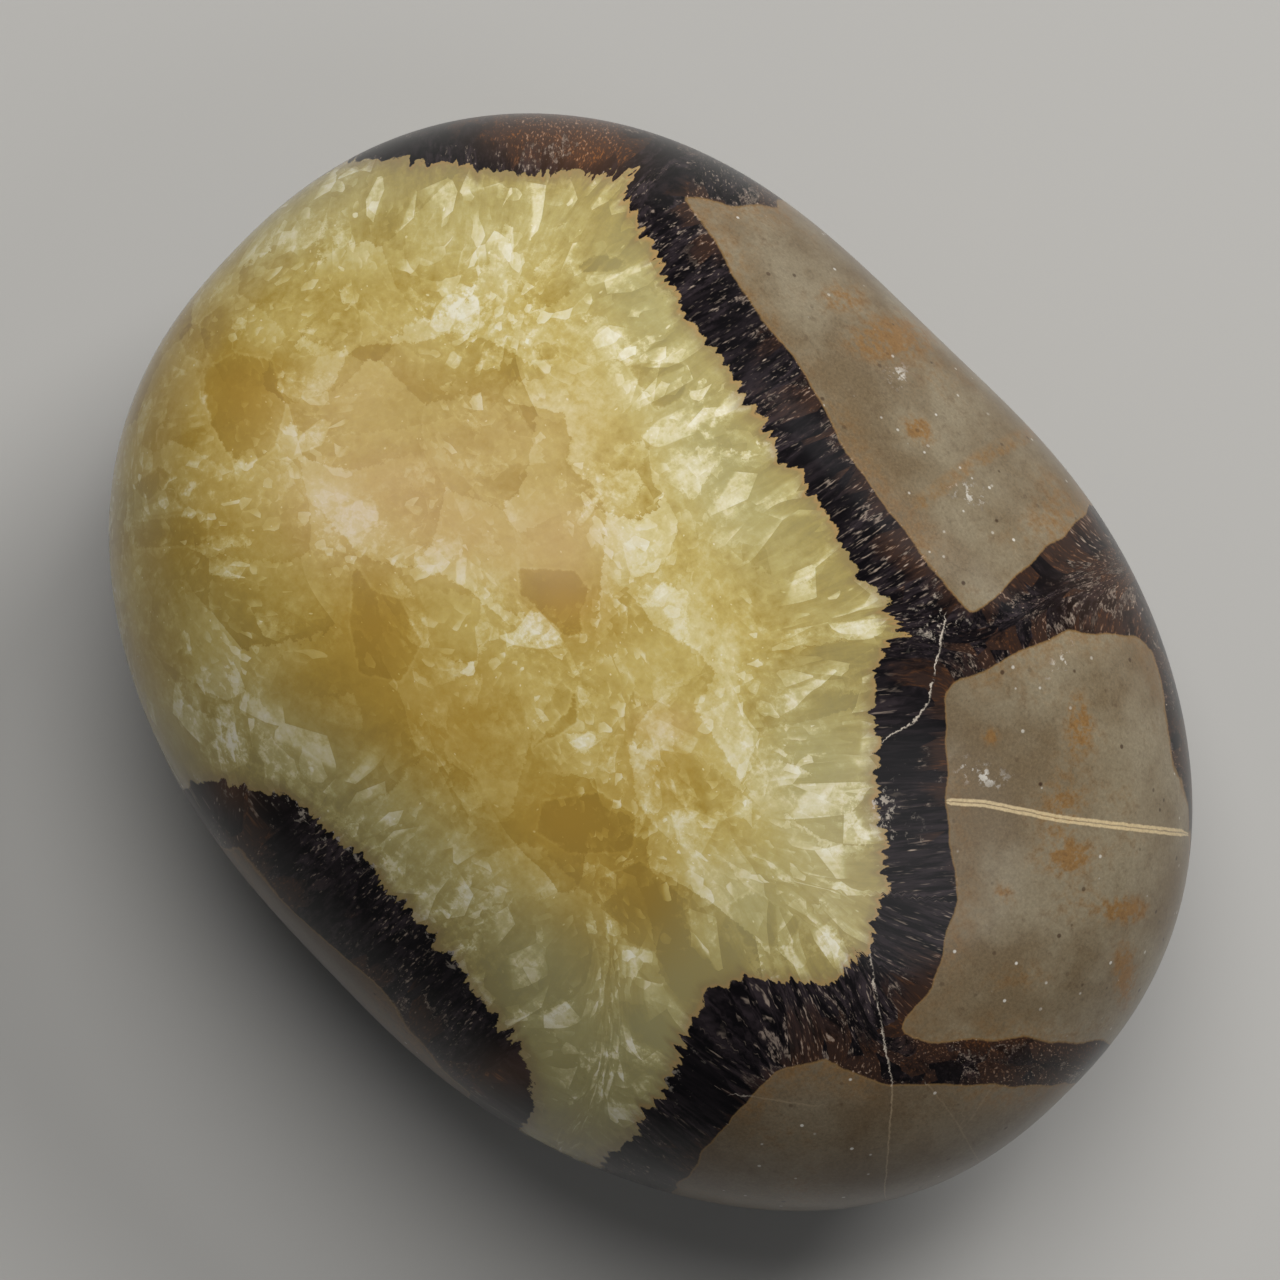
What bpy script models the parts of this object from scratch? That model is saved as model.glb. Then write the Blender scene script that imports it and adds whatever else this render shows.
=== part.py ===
"""A septarian nodule, hand-ground and polished to a smooth, oval palm stone.

The stone is one solid. It lies on a small flat spot, with its broad domed crown up.
X runs along the stone's length, Y across its width, and Z is up.
The origin is on the flat spot's plane, under the middle of the stone's outline.
"""

import math

import bmesh
import bpy
from mathutils import Vector

# Driving dimensions, in metres.
LENGTH = 0.076
WIDTH = 0.056
CROWN_RISE = 0.0205
KEEL_DROP = 0.0190

# The small flat spot underneath: how much of the keel it takes off, and its soft edge.
FLAT_SPOT_CUT = 0.0005
FLAT_SPOT_SOFTNESS = 0.0001

# How square the outline and the upright section are: 2 is an ellipse, more is squarer.
PLAN_SQUARENESS = 2.35
SECTION_SQUARENESS = 2.3

# The outline's hand-ground unevenness: times round, cosine part and sine part.
OUTLINE_WAVES = (
    (1, -0.00033, 0.00046),
    (2, -0.00027, -0.00022),
    (3, 0.00007, 0.00022),
    (4, -0.00004, -0.00007),
    (5, 0.00016, -0.00008),
    (6, 0.00013, 0.00003),
    (7, -0.00004, -0.00003),
)

# The widest line round the stone rises at two opposite sides and falls between them.
GIRDLE_RISE = 0.0005
GIRDLE_TURN = math.radians(35)

# Broad soft flats left by the grinding wheel: where each is, as degrees round from +X
# and degrees up, how deep it is cut, and how wide its soft edge is.
GROUND_FLATS = (
    (176, 36, 0.0005, 0.0022),
    (96, 30, 0.0004, 0.0022),
    (20, 42, 0.0005, 0.0022),
    (272, 34, 0.0004, 0.0022),
    (40, -40, 0.0006, 0.0022),
    (150, -36, 0.0005, 0.0022),
    (250, -40, 0.0006, 0.0022),
    (330, -36, 0.0004, 0.0022),
)

SPHERE_SUBDIVISIONS = 5
GRADIENT_STEP = 1e-5

NODE_NAME = "septarian_nodule"
STONE_COLOUR = (0.27, 0.21, 0.10, 1.0)
STONE_ROUGHNESS = 0.22


def clear_scene():
    """Removes every object that the scene starts with."""
    for obj in list(bpy.data.objects):
        bpy.data.objects.remove(obj)


def outline_radius(angle):
    """The distance from the middle to the stone's widest line, in one direction."""
    across_length = abs(math.cos(angle)) / (LENGTH / 2)
    across_width = abs(math.sin(angle)) / (WIDTH / 2)
    power = PLAN_SQUARENESS
    radius = (across_length**power + across_width**power) ** (-1 / power)
    for times, cosine_part, sine_part in OUTLINE_WAVES:
        radius += cosine_part * math.cos(times * angle)
        radius += sine_part * math.sin(times * angle)
    return radius


def fullness(point):
    """Below 1 inside the unground stone, 1 on its surface and above 1 outside."""
    flat_distance = math.hypot(point.x, point.y)
    angle = math.atan2(point.y, point.x)
    half_height = CROWN_RISE if point.z > 0 else KEEL_DROP
    power = SECTION_SQUARENESS
    sideways = flat_distance / outline_radius(angle)
    upright = abs(point.z) / half_height
    return (sideways**power + upright**power) ** (1 / power)


def unground_point(direction):
    """The point of the unground stone's surface that lies in one direction."""
    return direction * (1 / fullness(direction))


def unground_normal(point):
    """The outward normal of the unground stone at a point of its surface."""
    slopes = []
    for axis in range(3):
        step = Vector((0, 0, 0))
        step[axis] = GRADIENT_STEP
        slopes.append(fullness(point + step) - fullness(point - step))
    return Vector(slopes).normalized()


def wavy_girdle(point):
    """The point moved up or down, so that the stone's widest line isn't level."""
    angle = math.atan2(point.y, point.x)
    spread = math.hypot(point.x, point.y) / outline_radius(angle)
    rise = GIRDLE_RISE * spread**2 * math.cos(2 * (angle - GIRDLE_TURN))
    return point + Vector((0, 0, rise))


def soft_excess(height, softness):
    """How far a point outside a flat has to come in, eased in round the flat's edge."""
    if height >= softness:
        return height
    if height <= -softness:
        return 0.0
    return (height + softness) ** 2 / (4 * softness)


def flat_planes():
    """Each ground flat as its normal, its distance from the middle and its softness."""
    planes = []
    for turn, lift, depth, softness in GROUND_FLATS:
        around, up = math.radians(turn), math.radians(lift)
        level = math.cos(up)
        direction = Vector(
            (level * math.cos(around), level * math.sin(around), math.sin(up))
        )
        touch = unground_point(direction)
        normal = unground_normal(touch)
        planes.append((normal, normal.dot(touch) - depth, softness))
    return planes


def ground_point(direction, planes):
    """The point of the finished stone's surface that lies in one direction."""
    point = wavy_girdle(unground_point(direction))
    for normal, distance, softness in planes:
        height = normal.dot(point) - distance
        point = point - normal * soft_excess(height, softness)
    return point


def level_flat_spot(mesh):
    """Brings the lowest part of the keel up level: the flat spot that the stone rests on."""
    lowest = min(vert.co.z for vert in mesh.verts)
    floor = lowest + FLAT_SPOT_CUT
    for vert in mesh.verts:
        vert.co.z += soft_excess(floor - vert.co.z, FLAT_SPOT_SOFTNESS)


def centre_on_flat_spot(mesh):
    """Moves the stone so that its flat spot is at Z 0 and its outline is centred."""
    low = [min(vert.co[axis] for vert in mesh.verts) for axis in range(3)]
    high = [max(vert.co[axis] for vert in mesh.verts) for axis in range(3)]
    middle = Vector(((low[0] + high[0]) / 2, (low[1] + high[1]) / 2, low[2]))
    bmesh.ops.translate(mesh, verts=mesh.verts[:], vec=-middle)


def polished_stone_material():
    """One even tone for the whole stone: a waxy yellow with a polished gloss."""
    material = bpy.data.materials.new("polished_septarian_stone")
    material.use_nodes = True
    material.diffuse_color = STONE_COLOUR
    shader = material.node_tree.nodes["Principled BSDF"]
    shader.inputs["Base Color"].default_value = STONE_COLOUR
    shader.inputs["Roughness"].default_value = STONE_ROUGHNESS
    shader.inputs["Metallic"].default_value = 0.0
    return material


def make_stone():
    """Grinds a ball of small faces to the stone's shape and levels its flat spot."""
    mesh = bmesh.new()
    bmesh.ops.create_icosphere(mesh, subdivisions=SPHERE_SUBDIVISIONS, radius=1.0)
    planes = flat_planes()
    for vert in mesh.verts:
        vert.co = ground_point(vert.co.normalized(), planes)
    level_flat_spot(mesh)
    centre_on_flat_spot(mesh)

    data = bpy.data.meshes.new(NODE_NAME)
    mesh.to_mesh(data)
    mesh.free()
    data.shade_smooth()
    data.materials.append(polished_stone_material())
    stone = bpy.data.objects.new(NODE_NAME, data)
    bpy.context.scene.collection.objects.link(stone)
    return stone


clear_scene()
make_stone()
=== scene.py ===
"""The looks of a polished septarian nodule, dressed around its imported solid.

The stone is one piece. Its pattern is a set of angular limestone blocks with a band of
fibrous aragonite on every wall and translucent calcite in the space that is left. The
blocks are solid shapes that run through the stone, so the pattern meets itself on every
side. Lengths in the pattern are in millimetres, in the row frame, with heights counted
from the stone's widest line. Blender's own lengths are in metres.
"""

import logging
import math
from collections.abc import Sequence
from dataclasses import dataclass
from enum import Enum
from typing import Any

import bpy
import numpy as np
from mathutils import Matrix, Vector


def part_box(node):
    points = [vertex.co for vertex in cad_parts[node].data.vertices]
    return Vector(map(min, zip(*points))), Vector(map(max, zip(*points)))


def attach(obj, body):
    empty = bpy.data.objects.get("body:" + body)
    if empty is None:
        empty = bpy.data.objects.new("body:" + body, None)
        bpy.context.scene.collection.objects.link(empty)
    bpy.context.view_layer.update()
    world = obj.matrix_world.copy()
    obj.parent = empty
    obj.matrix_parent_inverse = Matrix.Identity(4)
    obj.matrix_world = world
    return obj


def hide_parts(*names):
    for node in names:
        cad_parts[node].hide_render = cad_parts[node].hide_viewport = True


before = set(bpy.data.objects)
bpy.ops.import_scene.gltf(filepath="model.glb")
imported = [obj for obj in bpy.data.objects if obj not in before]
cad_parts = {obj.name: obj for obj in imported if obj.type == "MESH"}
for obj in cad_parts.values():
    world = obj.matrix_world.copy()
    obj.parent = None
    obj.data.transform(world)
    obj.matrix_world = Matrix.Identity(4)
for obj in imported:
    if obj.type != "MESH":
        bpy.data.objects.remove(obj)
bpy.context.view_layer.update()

Array = np.ndarray
Colour = tuple[float, float, float]
Plan = tuple[float, float]
Corner = tuple[float, ...]

NODE_NAME = "septarian_nodule"
MM = 0.001

# Millimetres: the camera above the stone's widest line, and that line above the floor.
EYE_HEIGHT = 420.0
WIDEST_LINE_HEIGHT = 18.5

# How far a noise usually strays from its middle, and the middle of each of its channels.
NOISE_SWING = 0.25
MIDDLE = (0.5, 0.5, 0.5)

log = logging.getLogger("septarian_nodule")


def paint(red: int, green: int, blue: int) -> Colour:
    """Turns a colour picked on screen, 0 to 255 a channel, into linear light (sRGB).

    Args:
        red: The red channel.
        green: The green channel.
        blue: The blue channel.

    Returns:
        The linear red, green and blue.
    """
    levels = []
    for channel in (red, green, blue):
        share = channel / 255
        levels.append(share / 12.92 if share <= 0.04045 else ((share + 0.055) / 1.055) ** 2.4)
    return levels[0], levels[1], levels[2]


class Signal:
    """One output of a shader node, which can be reckoned with like a number."""

    def __init__(self, graph: "Graph", socket: bpy.types.NodeSocket) -> None:
        """Wraps a socket of a graph."""
        self.graph = graph
        self.socket = socket

    def __add__(self, other: "Signal | float") -> "Signal":
        """Adds a signal or a number."""
        return self.graph.maths("ADD", self, other)

    def __radd__(self, other: float) -> "Signal":
        """Adds the signal to a number."""
        return self.graph.maths("ADD", other, self)

    def __sub__(self, other: "Signal | float") -> "Signal":
        """Takes a signal or a number away."""
        return self.graph.maths("SUBTRACT", self, other)

    def __rsub__(self, other: float) -> "Signal":
        """Takes the signal from a number."""
        return self.graph.maths("SUBTRACT", other, self)

    def __mul__(self, other: "Signal | float") -> "Signal":
        """Multiplies by a signal or a number."""
        return self.graph.maths("MULTIPLY", self, other)

    def __rmul__(self, other: float) -> "Signal":
        """Multiplies a number by the signal."""
        return self.graph.maths("MULTIPLY", other, self)

    def __truediv__(self, other: "Signal | float") -> "Signal":
        """Divides by a signal or a number."""
        return self.graph.maths("DIVIDE", self, other)

    def out(self, name: str) -> "Signal":
        """Gives another output of the same node."""
        return Signal(self.graph, self.socket.node.outputs[name])

    def clamped(self) -> "Signal":
        """Keeps the signal between 0 and 1."""
        return self.graph.maths("ADD", self, 0.0, clamp=True)

    def least(self, other: "Signal | float") -> "Signal":
        """Gives the smaller of two values."""
        return self.graph.maths("MINIMUM", self, other)

    def most(self, other: "Signal | float") -> "Signal":
        """Gives the larger of two values."""
        return self.graph.maths("MAXIMUM", self, other)

    def size(self) -> "Signal":
        """Gives the value without its sign."""
        return self.graph.maths("ABSOLUTE", self)

    def rise(self, start: float, end: float) -> "Signal":
        """Runs smoothly from 0 at one value to 1 at a higher one.

        Args:
            start: The value up to which the result is 0.
            end: The value from which the result is 1.

        Returns:
            The smooth step.
        """
        return self.graph.node(
            "ShaderNodeMapRange",
            {"interpolation_type": "SMOOTHSTEP"},
            {"Value": self, "From Min": start, "From Max": end},
        )

    def fall(self, start: float, end: float) -> "Signal":
        """Runs smoothly from 1 at one value to 0 at a higher one."""
        return 1 - self.rise(start, end)


Value = Signal | float | Sequence[float]


class Graph:
    """A material's node tree, which every shader node is made through."""

    def __init__(self, tree: bpy.types.NodeTree) -> None:
        """Takes over an empty node tree."""
        self.tree = tree

    def node(
        self,
        kind: str,
        settings: dict[str, Any] | None = None,
        inputs: dict[str | int, Value] | None = None,
        output: str | int = 0,
    ) -> Signal:
        """Adds one node.

        Args:
            kind: The node's type.
            settings: What is set on the node itself, first of all; stops are a ramp's.
            inputs: The value of, or the link into, each socket, by name or number.
            output: The output that is wanted.

        Returns:
            The output as a signal.
        """
        made = self.tree.nodes.new(kind)
        for name, value in (settings or {}).items():
            if name == "stops":
                self._set_stops(made.color_ramp, value)
            else:
                setattr(made, name, value)
        for name, value in (inputs or {}).items():
            self._feed(made.inputs[name], value)
        return Signal(self, made.outputs[output])

    def _set_stops(self, ramp: bpy.types.ColorRamp, stops: Sequence[tuple[float, Colour]]) -> None:
        """Gives a ramp its stops.

        Args:
            ramp: The ramp.
            stops: Each stop's place, 0 to 1, and its colour.
        """
        while len(ramp.elements) < len(stops):
            ramp.elements.new(1.0)
        for element, (place, colour) in zip(ramp.elements, stops):
            element.position = place
            element.color = (*colour, 1.0)

    def _feed(self, socket: bpy.types.NodeSocket, value: Value) -> None:
        """Links a signal into a socket, or sets the socket's own value.

        Args:
            socket: The input socket.
            value: A signal, a number, or a vector or colour of three numbers.
        """
        if isinstance(value, Signal):
            self.tree.links.new(value.socket, socket)
        elif socket.type == "RGBA":
            socket.default_value = (*value, 1.0)
        else:
            socket.default_value = value

    def maths(self, operation: str, *values: Value, clamp: bool = False) -> Signal:
        """Adds a Math node for an operation on values."""
        settings = {"operation": operation, "use_clamp": clamp}
        return self.node("ShaderNodeMath", settings, dict(enumerate(values)))

    def vector(self, operation: str, first: Value, second: Value) -> Signal:
        """Adds a Vector Math node for an operation on two vectors."""
        output = "Value" if operation == "DOT_PRODUCT" else "Vector"
        settings = {"operation": operation}
        return self.node("ShaderNodeVectorMath", settings, {0: first, 1: second}, output)

    def scaled(self, vector: Value, amount: Value) -> Signal:
        """Multiplies a vector or a colour by one number."""
        settings = {"operation": "SCALE"}
        return self.node("ShaderNodeVectorMath", settings, {0: vector, "Scale": amount})

    def mix(self, share: Value, first: Value, second: Value) -> Signal:
        """Mixes a share of a second colour into a first one."""
        settings = {"data_type": "RGBA"}
        return self.node("ShaderNodeMix", settings, {0: share, 6: first, 7: second}, 2)

    def layered(self, base: Value, *layers: tuple[Value, Value]) -> Signal:
        """Lays colours over a first one.

        Args:
            base: The colour underneath.
            layers: The share and the colour of each layer, from the lowest up.

        Returns:
            The colour that is seen.
        """
        for share, colour in layers:
            base = self.mix(share, base, colour)
        return base

    def between(self, share: Value, first: Value, second: Value) -> Signal:
        """Gives the place a share of the way from one place to another."""
        settings = {"data_type": "VECTOR"}
        return self.node("ShaderNodeMix", settings, {0: share, 4: first, 5: second}, 1)

    def noise(self, place: Signal, scale: float, detail: float = 2.0, rough: float = 0.5) -> Signal:
        """Adds a smooth random pattern with a number of waves to the millimetre."""
        inputs = {"Vector": place, "Scale": scale, "Detail": detail, "Roughness": rough}
        return self.node("ShaderNodeTexNoise", {}, inputs)

    def cells(self, place: Signal, scale: float, feature: str = "F1") -> Signal:
        """Adds a pattern of random cells with a number of cells to the millimetre."""
        settings = {"feature": feature}
        return self.node("ShaderNodeTexVoronoi", settings, {"Vector": place, "Scale": scale})

    def stirred(self, place: Signal, scale: float, reach: float) -> Signal:
        """Moves a place about at random.

        Args:
            place: The place.
            scale: The number of waves to the millimetre.
            reach: How far the place is moved at most, in millimetres.

        Returns:
            The moved place.
        """
        stir = self.noise(place, scale, detail=1.0).out("Color")
        centred = self.vector("SUBTRACT", stir, MIDDLE)
        return self.vector("ADD", place, self.scaled(centred, 2 * reach))

    def field(self, name: str, output: str = "Vector") -> Signal:
        """Reads one of the stone's own fields."""
        return self.node("ShaderNodeAttribute", {"attribute_name": name}, {}, output)

    def shared(self, share: Signal, first: Signal, second: Signal) -> Signal:
        """Mixes a share of a second shader into a first one."""
        return self.node("ShaderNodeMixShader", {}, {0: share, 1: first, 2: second})

    def finish(self, shader: Signal) -> None:
        """Makes a shader the material's surface."""
        output = self.tree.nodes.new("ShaderNodeOutputMaterial")
        self._feed(output.inputs["Surface"], shader)

    def parts(self, vector: Signal) -> tuple[Signal, Signal, Signal]:
        """Splits a vector into its three numbers."""
        split = self.node("ShaderNodeSeparateXYZ", {}, {0: vector})
        return split, split.out("Y"), split.out("Z")


def ball_grid(cells: int) -> tuple[Array, Array]:
    """Spreads an even grid of four-cornered faces over a ball.

    Args:
        cells: The number of faces along each side of the six squares that cover the ball.

    Returns:
        The directions of the grid's points, and each face's four point numbers.
    """
    steps = np.tan(np.linspace(-math.pi / 4, math.pi / 4, cells + 1))
    across, up = np.meshgrid(steps, steps)
    one = np.ones_like(across)
    sides = [
        (across, up, one),
        (-across, up, -one),
        (one, across, up),
        (-one, -across, up),
        (up, one, across),
        (-up, -one, across),
    ]
    points = np.concatenate([np.stack(side, -1).reshape(-1, 3) for side in sides])
    points /= np.linalg.norm(points, axis=1, keepdims=True)
    row = cells + 1
    corner = (np.arange(cells)[:, None] * row + np.arange(cells)).ravel()
    quads = np.stack([corner, corner + 1, corner + row + 1, corner + row], 1)
    faces = np.concatenate([quads + side * row * row for side in range(6)])
    keys = np.round(points * 1e6).astype(np.int64)
    _, first, same = np.unique(keys, axis=0, return_index=True, return_inverse=True)
    return points[first], same.reshape(-1)[faces]


@dataclass(frozen=True)
class StoneForm:
    """The ground and polished form of the stone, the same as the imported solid's."""

    length: float = 76.0
    width: float = 56.0
    crown_rise: float = 20.5
    keel_drop: float = 19.0
    flat_spot_cut: float = 0.5
    flat_spot_softness: float = 0.1
    plan_squareness: float = 2.35
    section_squareness: float = 2.3
    outline_waves: tuple[tuple[int, float, float], ...] = (
        (1, -0.33, 0.46),
        (2, -0.27, -0.22),
        (3, 0.07, 0.22),
        (4, -0.04, -0.07),
        (5, 0.16, -0.08),
        (6, 0.13, 0.03),
        (7, -0.04, -0.03),
    )
    girdle_rise: float = 0.5
    girdle_turn: float = math.radians(35)
    ground_flats: tuple[tuple[float, float, float], ...] = (
        (176, 36, 0.5),
        (96, 30, 0.4),
        (20, 42, 0.5),
        (272, 34, 0.4),
        (40, -40, 0.6),
        (150, -36, 0.5),
        (250, -40, 0.6),
        (330, -36, 0.4),
    )
    flat_softness: float = 2.2
    slope_step: float = 0.01

    def outline(self, angle: Array) -> Array:
        """Gives the distance from the middle to the widest line.

        Args:
            angle: The directions round the middle, in radians.

        Returns:
            The distance in each direction.
        """
        power = self.plan_squareness
        lengthwise = np.abs(np.cos(angle) / (self.length / 2)) ** power
        widthwise = np.abs(np.sin(angle) / (self.width / 2)) ** power
        radius = (lengthwise + widthwise) ** (-1 / power)
        for times, cosine_part, sine_part in self.outline_waves:
            radius = radius + cosine_part * np.cos(times * angle)
            radius = radius + sine_part * np.sin(times * angle)
        return radius

    def fullness(self, points: Array) -> Array:
        """Tells how far out points are in the unground stone.

        Args:
            points: The points, with heights from the widest line.

        Returns:
            Below 1 inside the stone, 1 on its surface and above 1 outside it.
        """
        angle = np.arctan2(points[:, 1], points[:, 0])
        half_height = np.where(points[:, 2] > 0, self.crown_rise, self.keel_drop)
        power = self.section_squareness
        sideways = np.hypot(points[:, 0], points[:, 1]) / self.outline(angle)
        upright = np.abs(points[:, 2]) / half_height
        return (sideways**power + upright**power) ** (1 / power)

    @staticmethod
    def soft_excess(height: Array, softness: float) -> Array:
        """Gives how far points outside a flat come in, eased in at the flat's edge."""
        eased = (height + softness) ** 2 / (4 * softness)
        return np.where(height >= softness, height, np.where(height <= -softness, 0.0, eased))

    def grind(self, directions: Array) -> Array:
        """Gives the finished stone's surface.

        Args:
            directions: The directions from the middle in which points are wanted.

        Returns:
            The points, centred on the outline, with heights from the widest line.
        """
        points = directions / self.fullness(directions)[:, None]
        angle = np.arctan2(points[:, 1], points[:, 0])
        spread = np.hypot(points[:, 0], points[:, 1]) / self.outline(angle)
        points[:, 2] += self.girdle_rise * spread**2 * np.cos(2 * (angle - self.girdle_turn))
        for turn, lift, depth in self.ground_flats:
            normal, distance = self._flat(math.radians(turn), math.radians(lift), depth)
            excess = self.soft_excess(points @ normal - distance, self.flat_softness)
            points = points - excess[:, None] * normal
        floor = points[:, 2].min() + self.flat_spot_cut
        points[:, 2] += self.soft_excess(floor - points[:, 2], self.flat_spot_softness)
        middle = (points.min(0) + points.max(0)) / 2
        points[:, :2] -= middle[:2]
        return points

    def _flat(self, turn: float, lift: float, depth: float) -> tuple[Array, float]:
        """Finds the plane of one ground flat.

        Args:
            turn: Where the flat is round the stone, from +X, in radians.
            lift: How far up the stone it is, in radians.
            depth: How deep it is cut.

        Returns:
            The plane's outward normal and its distance from the middle.
        """
        level = math.cos(lift)
        direction = np.array([[level * math.cos(turn), level * math.sin(turn), math.sin(lift)]])
        touch = direction / self.fullness(direction)[:, None]
        steps = np.eye(3) * self.slope_step
        slope = [self.fullness(touch + step)[0] - self.fullness(touch - step)[0] for step in steps]
        normal = np.array(slope) / np.linalg.norm(slope)
        return normal, float(touch[0] @ normal) - depth


def filleted(corners: Sequence[Corner], steps: int = 5, most: float = 0.49) -> Array:
    """Rounds the corners of an outline that ask for it.

    Args:
        corners: Each corner's x, y and, if it is rounded, its radius.
        steps: The number of straight steps round each rounded corner.
        most: The share of a side that one rounded corner may take up.

    Returns:
        The points of the outline.
    """
    places = [np.array(corner[:2], float) for corner in corners]
    made: list[Array] = []
    for index, corner in enumerate(corners):
        here = places[index]
        if len(corner) < 3:
            made.append(here)
            continue
        back = places[index - 1] - here
        ahead = places[(index + 1) % len(places)] - here
        room = most * min(np.linalg.norm(back), np.linalg.norm(ahead))
        back, ahead = back / np.linalg.norm(back), ahead / np.linalg.norm(ahead)
        half = math.acos(float(np.clip(back @ ahead, -1, 1))) / 2
        reach = min(corner[2] / math.tan(half), room)
        radius = reach * math.tan(half)
        middle = (back + ahead) / np.linalg.norm(back + ahead)
        centre = here + middle * radius / math.sin(half)
        start, end = here + back * reach - centre, here + ahead * reach - centre
        first = math.atan2(start[1], start[0])
        turn = (math.atan2(end[1], end[0]) - first + math.pi) % (2 * math.pi) - math.pi
        for step in range(steps + 1):
            angle = first + turn * step / steps
            made.append(centre + radius * np.array([math.cos(angle), math.sin(angle)]))
    return np.array(made)


def segment_gaps(points: Array, start: Array, end: Array) -> tuple[Array, Array]:
    """Measures points against one straight segment in the plan.

    Args:
        points: The points' x and y.
        start: The segment's start.
        end: The segment's end.

    Returns:
        The distance of each point, and which side it is on: above 0 is the left.
    """
    along = end - start
    away = points - start
    share = np.clip((away @ along) / (along @ along), 0, 1)
    gap = away - share[:, None] * along
    return np.hypot(gap[:, 0], gap[:, 1]), along[0] * away[:, 1] - along[1] * away[:, 0]


def polygon_distance(points: Array, polygon: Array) -> Array:
    """Measures points against a closed outline in the plan.

    Args:
        points: The points' x and y.
        polygon: The outline's corners.

    Returns:
        Each point's distance from the outline, below 0 inside it.
    """
    nearest = np.full(len(points), np.inf)
    inside = np.zeros(len(points), bool)
    for start, end in zip(polygon, np.roll(polygon, -1, axis=0)):
        gap, side = segment_gaps(points, start, end)
        nearest = np.minimum(nearest, gap)
        upward = (points[:, 1] >= start[1]) & (points[:, 1] < end[1]) & (side > 0)
        downward = (points[:, 1] < start[1]) & (points[:, 1] >= end[1]) & (side < 0)
        inside ^= upward | downward
    return np.where(inside, -nearest, nearest)


def smooth_max(first: Array, second: Array, softness: float) -> Array:
    """Gives the larger of two distances, rounded where they cross."""
    share = np.clip(0.5 + 0.5 * (first - second) / softness, 0, 1)
    return second + (first - second) * share + softness * share * (1 - share)


@dataclass(frozen=True)
class Wander:
    """A smooth random push, which keeps a pattern from being too regular."""

    amount: float
    period: float
    seed: int
    waves: int = 5
    period_spread: tuple[float, float] = (0.7, 1.4)

    def push(self, points: Array) -> Array:
        """Gives the push at each point.

        Args:
            points: The points in the stone.

        Returns:
            The push, mostly about as long as the amount.
        """
        draw = np.random.default_rng(self.seed)
        push = np.zeros_like(points)
        for _ in range(self.waves):
            heading = draw.normal(size=3)
            length = self.period * np.linalg.norm(heading)
            heading *= 2 * math.pi / length * draw.uniform(*self.period_spread)
            phase = draw.uniform(0, 2 * math.pi, 3)
            push += np.sin((points @ heading)[:, None] + phase) * draw.normal(size=3) * 0.5
        return self.amount * push


@dataclass(frozen=True)
class Block:
    """One block of limestone: an upright prism with a tilted floor and roof.

    The corners are where its walls stand at the widest line. Below that line they lean
    and flare. The floor and the roof are each a height and its slopes along x and y. The
    band is the width of the aragonite on its walls, and the tone is how much darker brown
    it is painted: partly its own brown and, on the lower_left and lower_right blocks,
    partly painted shade where they face away from the light.
    """

    name: str
    corners: tuple[Corner, ...]
    band: float = 4.2
    lean: Plan = (0.0, 0.0)
    flare: float = 0.0
    floor: tuple[float, float, float] = (-60.0, 0.0, 0.0)
    roof: tuple[float, float, float] = (60.0, 0.0, 0.0)
    tone: float = 0.0
    edge_softness: float = 1.2
    lean_start: float = 3.0

    def distance(self, points: Array) -> Array:
        """Measures points against the block's walls, floor and roof.

        Args:
            points: The points, with heights from the widest line.

        Returns:
            Each point's distance from the block, below 0 inside it.
        """
        height = points[:, 2]
        deep = 0.5 * (height - np.sqrt(height**2 + self.lean_start**2))
        plan = points[:, :2] - deep[:, None] * np.array(self.lean)
        sides = polygon_distance(plan, filleted(self.corners)) + self.flare * deep
        floor = self.floor[0] + points[:, :2] @ np.array(self.floor[1:]) - height
        roof = height - self.roof[0] - points[:, :2] @ np.array(self.roof[1:])
        below = smooth_max(sides, floor, self.edge_softness)
        return smooth_max(below, roof, self.edge_softness)


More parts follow.
